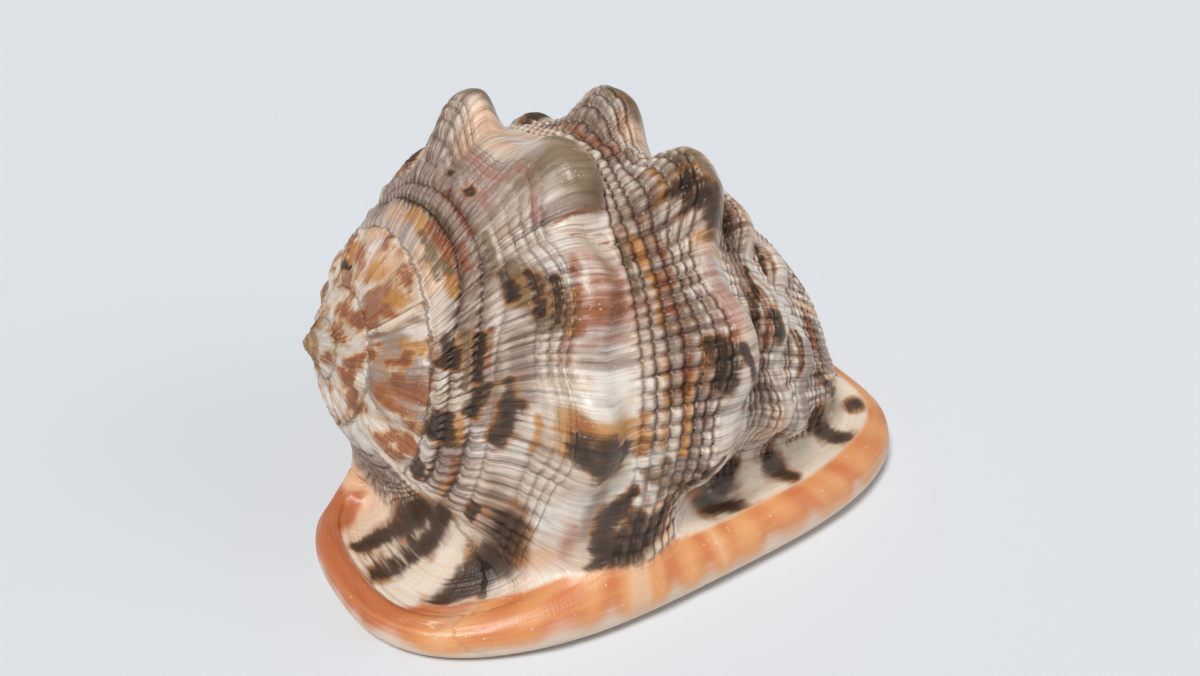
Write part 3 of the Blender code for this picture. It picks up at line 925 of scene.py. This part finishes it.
CREAM = (0.70, 0.56, 0.43)
PALE = (0.83, 0.76, 0.68)
TAN = (0.36, 0.205, 0.115)
MAUVE = (0.36, 0.225, 0.175)
BROWN = (0.070, 0.033, 0.016)
BLACK = (0.016, 0.010, 0.007)
RUST = (0.34, 0.108, 0.036)
GOLD = (0.58, 0.27, 0.070)
STAIN = (0.40, 0.165, 0.042)
UMBER = (0.17, 0.095, 0.058)
PEACH = (0.80, 0.53, 0.35)
BLUSH = (0.50, 0.245, 0.185)
OLIVE = (0.205, 0.128, 0.060)
SMOKE = (0.31, 0.205, 0.160)
ORANGE = (0.62, 0.190, 0.060)
FLAME = (0.48, 0.115, 0.036)
SALMON = (0.80, 0.39, 0.155)
MILK = (0.80, 0.68, 0.55)
# colour of the painted shade in the grooves between cords and beads
GROOVE_SHADE = (0.30, 0.18, 0.12)

material = bpy.data.materials.new("shell_layer")
material.use_nodes = True
tree = material.node_tree
surface = tree.nodes["Principled BSDF"]
growth, along, cord = field(tree, "coil")
edge, offset, rise = field(tree, "border")
dark, rust, gold = field(tree, "stain")
peach, blush, olive = field(tree, "bloom")
rim, belt, spire = field(tree, "zone")
bar, flange, under = field(tree, "flange")
inside, from_slit, smoke = field(tree, "mouth")
beads, worn, knob = field(tree, "beads")

# noises drawn out along the growth lines, from hairs to clouds, and others by cord and bead
hair = (growth * 2.6).noise(along * 0.06, 1.0)
fine = (growth * 1.1).noise(along * 0.05, 2.0, 3.0)
streak = (growth * 0.40).noise(along * 0.04, 3.0, 3.0)
cloud = (growth * 0.075).noise(along * 0.10, 4.0)
grit = (growth * 2.4).noise(along * 2.4, 5.0)
cell = (beads.math("FLOOR") * 5.3).noise(cord.math("FLOOR") * 7.7, 6.0, 0.0)
blur = (beads * 0.9).noise(cord * 0.9, 7.0, 1.0)
place = Value(tree, tree.nodes.new("ShaderNodeTexCoord").outputs["Object"])
mottle = place.node("ShaderNodeTexNoise", {}, {"Vector": place, "Scale": 190.0, "Detail": 4.0})
salt = place.node("ShaderNodeTexVoronoi", {}, {"Vector": place, "Scale": 620.0})
ragged = (streak - 0.5) * 1.1 + (fine - 0.5) * 0.8 + (blur - 0.5) * belt * 0.7
cord_mid = cord.middle()
bead_mid = beads.middle()
# masks of the grooves between cords and between beads, where painted shade darkens the colour
string = cord_mid.step(0.45, 0.0) * (worn + grit * 0.5).step(0.30, 0.85)
notch = bead_mid.step(0.45, 0.0) * (worn + grit * 0.5).step(0.40, 0.95)

# ground colour: cream with pale hollows, tan and mauve in the belts, streaked by growth lines
colour = ground(tree, CREAM)
colour = colour.over((cloud + streak * 0.6).step(0.62, 0.95), PALE)
tinge = (smoke * 0.9 + (streak - 0.5) * 1.6 + (cloud - 0.5) * 0.8).step(0.12, 0.90)
colour = colour.over(tinge * 0.85, SMOKE)
colour = colour.over(belt * (cell * 0.7 + blur * 0.6 + cloud * 0.3).step(0.78, 1.0) * 0.75, TAN)
colour = colour.over(belt * (blur * 0.8 + streak * 0.6).step(0.78, 0.95) * 0.6, MAUVE)

# the spire is mottled all over, and the patches lie over both with ragged edges
colour = colour.over(spire * (mottle + (streak - 0.5) * 0.2).step(0.44, 0.56) * 0.75, GOLD)
colour = colour.over(spire * (mottle + (streak - 0.5) * 0.3).step(0.52, 0.61) * 0.92, RUST)
colour = colour.over(spire * (mottle + (streak - 0.5) * 0.5).step(0.62, 0.72) * 0.6, UMBER)
colour = colour.over((blush + ragged * 0.8).step(0.15, 1.25) * 0.9, BLUSH)
colour = colour.over((peach + ragged * 0.4).step(0.1, 1.1) * 0.9, PEACH)
colour = colour.over((gold + ragged * 0.8).step(0.25, 1.0) * 0.92, GOLD)
colour = colour.over((rust + ragged * 0.9).step(0.22, 1.05) * 0.9, RUST)
colour = colour.over((olive + ragged * 0.45).step(0.10, 0.85) * 0.90, OLIVE)

# growth lines darken and lighten it in turn, less where it is smooth; painted shade lies in the
# grooves between cords and beads
plain = 1.0 - flange
rough_part = plain * (1.0 - spire * 0.5) * (1.0 - olive * 0.6) * (1.0 - blush * 0.5)
rough_part = rough_part * (worn.step(0.0, 0.35) * 0.7 + 0.3)
colour = colour.tint((hair * 0.5 + fine * 0.9).step(0.64, 0.86) * 0.62 * rough_part, MAUVE)
colour = colour.tint((streak + hair * 0.3).step(0.68, 0.88) * 0.30 * rough_part, MAUVE)
colour = colour.over((hair * 0.5 + fine * 0.9).step(0.60, 0.42) * 0.30 * rough_part, PALE)
colour = colour.over((streak + hair * 0.3).step(0.60, 0.44) * 0.25 * rough_part, PALE)
groove_shade = (string * (belt + 0.10)).most(notch * (belt * 0.6 + 0.10))
colour = colour.tint(groove_shade * plain, GROOVE_SHADE)
colour = colour.over(salt.step(0.22, 0.12) * grit.step(0.5, 0.6) * plain * 0.5, PALE)

# flange: milk white, crossed by fine lines along the lip, and peach to salmon on the shield
lip_line = (offset * 1.6).noise(edge * 0.06, 8.0, 3.0)
broad = (offset * 0.22).noise(edge * 0.14, 9.0)
plate = ground(tree, MILK)
plate = plate.over(lip_line.step(0.48, 0.68) * 0.45, PEACH)
plate = plate.over(broad.step(0.50, 0.66) * 0.3, PALE)
shield = edge.math("ABSOLUTE").step(80.0, 118.0)
plate = plate.over(shield * (broad * 0.8 + 0.2), PEACH)
plate = plate.over(shield * (offset + lip_line * 8.0).step(-9.0, 1.0) * 0.6, SALMON)
colour = colour.over(flange.step(0.10, 0.80), plate)

# dark patches and bars over both, orange brown at their edges and streaked by growth lines
spots = dark + ragged * 0.7 + (hair - 0.5) * 0.4 + (mottle - 0.5) * 1.3 - flange * 0.6
barred = bar + ((lip_line - 0.5) * 0.45 + (broad - 0.5) * 0.5) * flange + ragged * 0.6 * plain
stained = spots.most(barred)
warm = (cloud + mottle * 0.6).step(0.66, 0.92) * 0.75 + 0.12
halo = dark.most(bar).step(0.0, 0.35)
colour = colour.over((stained + 0.14).step(-0.05, 0.60) * warm * halo, STAIN)
colour = colour.over((stained + (cloud - 0.5) * 0.6).step(0.32, 0.78) * 0.95, BROWN)
beaded = belt * plain * cord_mid.step(0.3, 0.9) * bead_mid.step(0.2, 0.8)
colour = colour.over(stained.step(0.35, 0.7) * beaded * 0.28, OLIVE)
colour = colour.over(stained.step(0.70, 1.15) * (1.0 - beaded * 0.6) * 0.70, BLACK)
wrinkle = (lip_line * flange + fine * plain).step(0.50, 0.66)
colour = colour.over(stained.step(0.5, 0.8) * wrinkle * 0.22, UMBER)

# rim: orange with salmon and peach bands across it, milk white low on the outside
band = (edge * 0.10).noise(offset * 0.03, 10.0, 1.0)
thread = (rise * 11.0).noise(edge * 0.03, 11.0)
roll = ground(tree, ORANGE)
roll = roll.over(band.step(0.34, 0.62) * 0.85, SALMON)
roll = roll.over(band.step(0.57, 0.70) * 0.75, PEACH)
roll = roll.over(thread.step(0.48, 0.70) * 0.35, SALMON)
deep = (edge + 60.0).step(0.0, -18.0) * 0.95 - offset * 0.06 + (band - 0.5) * 1.3
roll = roll.over((deep + (thread - 0.5) * 1.2).step(0.10, 0.90) * 0.85, FLAME)
roll = roll.over(salt.step(0.17, 0.10) * mottle.step(0.50, 0.58) * 0.55, PALE)
roll = roll.over((rise + (band - 0.5) * 1.3 + (thread - 0.5) * 0.4).step(0.70, 0.20) * 0.9, MILK)
colour = colour.over(rim, roll)

# underside: peach near the rim and deep salmon by the slit, with pale teeth
tooth = from_slit * 20.0
belly = roll.over(under, MILK)
belly = belly.over(broad.step(0.30, 0.60) * 0.45 + 0.25, PEACH)
belly = belly.over(tooth.step(17.0, 2.0) * 0.85, SALMON)
belly = belly.over(knob * tooth.step(15.0, 9.0) * 0.9, PALE)
colour = colour.over(under, belly)
colour = colour.over(inside, RUST)
tree.links.new(colour.socket, surface.inputs["Base Color"])

# fine relief that the mesh is too coarse for, heights in millimetres, and a soft porcelain gloss
height = (hair - 0.5) * 0.10 + (fine - 0.5) * 0.22 + (streak - 0.5) * 0.12
height = height + belt * (cord_mid.step(0.0, 0.8) * 0.6 + bead_mid.step(0.0, 0.8) * 0.5)
height = height * (1.0 - rim) * (1.0 - under) * (1.0 - inside) + (grit - 0.5) * 0.07
height = height + (lip_line - 0.5) * 0.20 * flange + (thread - 0.5) * 0.07 * rim
bump = height.node(
    "ShaderNodeBump", {}, {"Strength": 1.0, "Distance": 0.001, "Height": height})
tree.links.new(bump.socket, surface.inputs["Normal"])
rough = 0.38 + belt * 0.14 + (grit - 0.5) * 0.3 + rim * 0.04
tree.links.new(rough.socket, surface.inputs["Roughness"])
surface.inputs["Coat Weight"].default_value = 0.15
surface.inputs["Coat Roughness"].default_value = 0.2
shell.data.materials.append(material)

# --------------------------------------------------------------- floor, light and camera
# A pale matt floor, one large soft lamp from the upper left, a weak one from the right, and
# even light all round.  The camera looks down from the spire's side.

FLOOR_COLOUR = (0.72, 0.75, 0.78, 1.0)
SKY_COLOUR = (0.97, 0.98, 1.0, 1.0)
SKY_LIGHT = 0.24
SKY_SEEN_GAIN = 0.50

bpy.ops.object.select_all(action="DESELECT")
bpy.ops.mesh.primitive_plane_add(size=4.0, location=(0.0, 0.0, 0.0))
floor = bpy.context.object
floor.name = "floor"
matt = bpy.data.materials.new("pale_floor")
matt.use_nodes = True
matt_surface = matt.node_tree.nodes["Principled BSDF"]
matt_surface.inputs["Base Color"].default_value = FLOOR_COLOUR
matt_surface.inputs["Roughness"].default_value = 0.9
floor.data.materials.append(matt)

# where the camera sees past the floor, the surroundings are paler than the light they give
world = bpy.data.worlds.new("even_light")
world.use_nodes = True
sky = world.node_tree.nodes["Background"]
sky.inputs["Color"].default_value = SKY_COLOUR
rays = Value(world.node_tree, world.node_tree.nodes.new("ShaderNodeLightPath").outputs[0])
world.node_tree.links.new((rays * SKY_SEEN_GAIN + SKY_LIGHT).socket, sky.inputs["Strength"])
bpy.context.scene.world = world

for name, direction, strength, spread in (
        ("key_lamp", (-0.55, -0.35, 1.1), 2.6, 0.3), ("fill_lamp", (0.8, -0.7, 0.6), 0.5, 0.8)):
    lamp_data = bpy.data.lights.new(name, "SUN")
    lamp_data.energy = strength
    lamp_data.angle = spread
    lamp = bpy.data.objects.new(name, lamp_data)
    lamp.rotation_euler = Vector(direction).to_track_quat("Z", "Y").to_euler()
    bpy.context.scene.collection.objects.link(lamp)

VIEW_AZIMUTH = math.radians(-34.5)
VIEW_ELEVATION = math.radians(34.0)
VIEW_DISTANCE = 0.3232
VIEW_TARGET = Vector((0.00465, -0.00193, 0.035))
back = Vector((
    math.sin(VIEW_AZIMUTH) * math.cos(VIEW_ELEVATION),
    -math.cos(VIEW_AZIMUTH) * math.cos(VIEW_ELEVATION),
    math.sin(VIEW_ELEVATION)))
camera_data = bpy.data.cameras.new("camera")
camera_data.lens = 43.69
camera_data.clip_start = 0.01
camera = bpy.data.objects.new("camera", camera_data)
camera.location = VIEW_TARGET + back * VIEW_DISTANCE
camera.rotation_euler = back.to_track_quat("Z", "Y").to_euler()
bpy.context.scene.collection.objects.link(camera)
bpy.context.scene.camera = camera
bpy.context.scene.view_settings.view_transform = "Standard"
